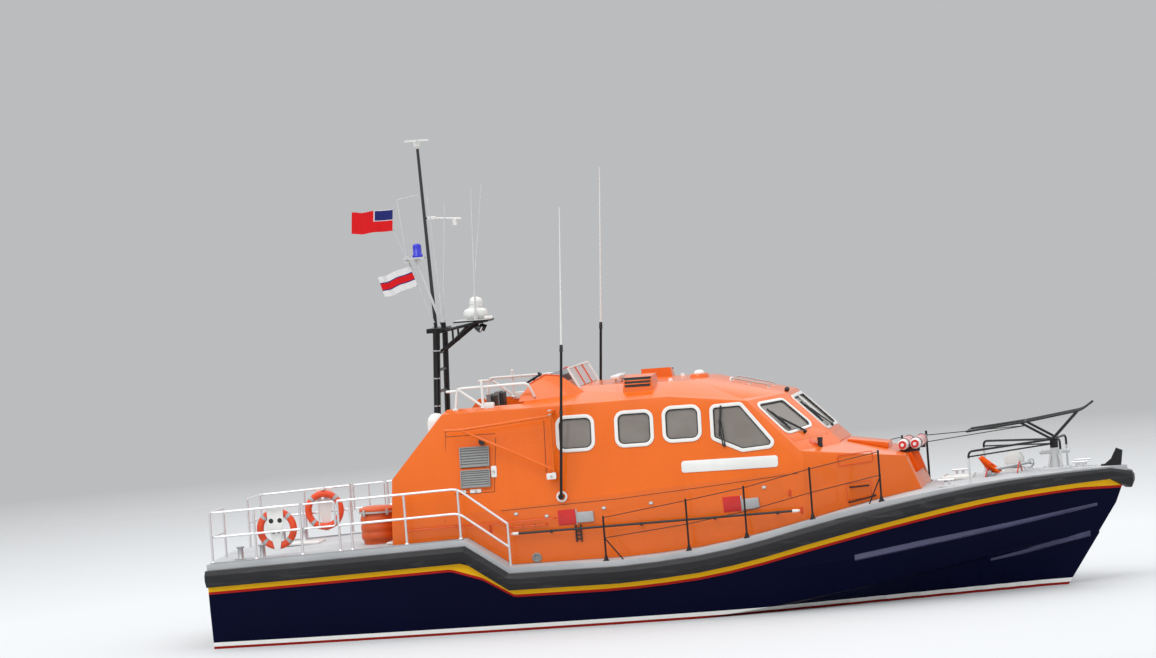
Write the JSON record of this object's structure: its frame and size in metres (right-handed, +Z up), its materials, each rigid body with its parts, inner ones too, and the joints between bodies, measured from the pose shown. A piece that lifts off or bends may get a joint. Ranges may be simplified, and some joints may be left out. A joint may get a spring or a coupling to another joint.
{
  "type": "all-weather lifeboat",
  "caption": "Decked motor lifeboat with a navy hull, orange wheelhouse, upper steering position, folding mast, deck rails, twin propellers and rudders.",
  "frame": {"origin": "on the waterline plane, amidships, on the centreline", "axes": "+X to the bow, +Y to port, +Z up"},
  "size_m": [16.3054, 5.3148, 10.06],
  "materials": {
    "hull_paint": "gloss",
    "orange_gelcoat": "gloss",
    "deck_paint": "non-slip matt",
    "rubber": "matt",
    "glazing": "clear, dark inside",
    "black_paint": "satin",
    "white_paint": "gloss",
    "stainless": "polished",
    "bronze": "cast and polished",
    "interior": "matt",
    "orange_gear": "matt",
    "blue_lens": "clear moulded",
    "red_bunting": "woven",
    "white_bunting": "woven"
  },
  "bodies": {
    "boat": {"hull": "hull_paint", "deck": "deck_paint", "belting": "rubber", "aft_casing": "orange_gelcoat", "wheelhouse_roof": "orange_gelcoat", "wheelhouse_front": "orange_gelcoat", "trunk": "orange_gelcoat", "cabin_interior": "interior", "windscreen_centre": "glazing", "upper_coaming": "orange_gelcoat", "upper_windscreen": "glazing", "upper_console": "interior", "upper_seats": "interior", "bow_frame": "black_paint", "stem_fairlead": "black_paint", "anchor": "orange_gear", "windlass": "white_paint", "pump_drum": "orange_gear", "float_free_canister": "white_paint", "roof_dome": "white_paint", "side_window_1_starboard": "glazing", "side_window_1_port": "glazing", "side_window_2_starboard": "glazing", "side_window_2_port": "glazing", "side_window_3_starboard": "glazing", "side_window_3_port": "glazing", "side_window_4_starboard": "glazing", "side_window_4_port": "glazing", "windscreen_quarter_starboard": "glazing", "windscreen_quarter_port": "glazing", "aft_rail_starboard": "stainless", "aft_rail_port": "stainless", "guard_rail_starboard": "black_paint", "guard_rail_port": "black_paint", "house_side_starboard": "orange_gelcoat", "house_side_port": "orange_gelcoat", "upper_handrail_starboard": "white_paint", "upper_handrail_port": "white_paint", "lifebuoy_starboard": "orange_gear", "lifebuoy_port": "orange_gear"},
    "propeller_starboard": {"propeller_starboard": "bronze"},
    "propeller_port": {"propeller_port": "bronze"},
    "rudder_starboard": {"rudder_starboard": "bronze"},
    "rudder_port": {"rudder_port": "bronze"},
    "mast": {"mast_frame": "black_paint", "mast_pole": "black_paint", "radar_scanner": "white_paint", "blue_lamp": "blue_lens", "ensign": "red_bunting", "house_flag": "white_bunting"},
    "recovery_davit_starboard": {"recovery_davit_starboard": "orange_gelcoat"},
    "recovery_davit_port": {"recovery_davit_port": "orange_gelcoat"},
    "side_aerial_starboard": {"side_aerial_starboard": "black_paint"},
    "side_aerial_port": {"side_aerial_port": "black_paint"},
    "rail_gate_starboard": {"rail_gate_starboard": "stainless"},
    "rail_gate_port": {"rail_gate_port": "stainless"},
    "stern_door": {"stern_door": "hull_paint"},
    "cabin_door": {"cabin_door": "orange_gelcoat"},
    "fore_hatch": {"fore_hatch": "orange_gelcoat"}
  },
  "joints": [
    {"name": "propeller_starboard_spin", "type": "hinge", "parent": "boat", "child": "propeller_starboard", "pos_m": [-6.85, -1.05, -0.83], "axis": [1, 0, 0], "continuous": true},
    {"name": "propeller_port_spin", "type": "hinge", "parent": "boat", "child": "propeller_port", "pos_m": [-6.85, 1.05, -0.83], "axis": [1, 0, 0], "continuous": true},
    {"name": "rudder_starboard_swing", "type": "hinge", "parent": "boat", "child": "rudder_starboard", "pos_m": [-7.5, -1.05, -0.8], "axis": [0, 0, 1], "range_deg": [-35, 35]},
    {"name": "rudder_port_swing", "type": "hinge", "parent": "boat", "child": "rudder_port", "pos_m": [-7.5, 1.05, -0.8], "axis": [0, 0, 1], "range_deg": [-35, 35]},
    {"name": "mast_fold", "type": "hinge", "parent": "boat", "child": "mast", "pos_m": [-4.11, 0, 3.11], "axis": [0, -1, 0], "range_deg": [0, 80]},
    {"name": "recovery_davit_starboard_swing", "type": "hinge", "parent": "boat", "child": "recovery_davit_starboard", "pos_m": [-1.77, -2.125, 3.2], "axis": [0, 0, 1], "range_deg": [0, 90]},
    {"name": "recovery_davit_port_swing", "type": "hinge", "parent": "boat", "child": "recovery_davit_port", "pos_m": [-1.77, 2.125, 3.2], "axis": [0, 0, -1], "range_deg": [0, 90]},
    {"name": "side_aerial_starboard_fold", "type": "hinge", "parent": "boat", "child": "side_aerial_starboard", "pos_m": [-1.669, -2.19, 2.281], "axis": [0, 1, 0], "range_deg": [0, 70]},
    {"name": "side_aerial_port_fold", "type": "hinge", "parent": "boat", "child": "side_aerial_port", "pos_m": [-1.669, 2.19, 2.281], "axis": [0, 1, 0], "range_deg": [0, 70]},
    {"name": "rail_gate_starboard_swing", "type": "hinge", "parent": "boat", "child": "rail_gate_starboard", "pos_m": [-6.27, -2.2553, 2.2], "axis": [0, 0, 1], "range_deg": [0, 90]},
    {"name": "rail_gate_port_swing", "type": "hinge", "parent": "boat", "child": "rail_gate_port", "pos_m": [-6.27, 2.2553, 2.2], "axis": [0, 0, -1], "range_deg": [0, 90]},
    {"name": "stern_door_drop", "type": "hinge", "parent": "boat", "child": "stern_door", "pos_m": [-8.145, 0, 0.37], "axis": [0, -1, 0], "range_deg": [0, 90]},
    {"name": "cabin_door_swing", "type": "hinge", "parent": "boat", "child": "cabin_door", "pos_m": [-4.105, 1.445, 2.5], "axis": [0, 0, -1], "range_deg": [0, 95]},
    {"name": "fore_hatch_lift", "type": "hinge", "parent": "boat", "child": "fore_hatch", "pos_m": [3.925, 0, 2.64], "axis": [0, 1, 0], "range_deg": [0, 100]}
  ],
  "couplings": [
    {"joint": "rudder_port_swing", "follows": "rudder_starboard_swing", "ratio": 1}
  ]
}
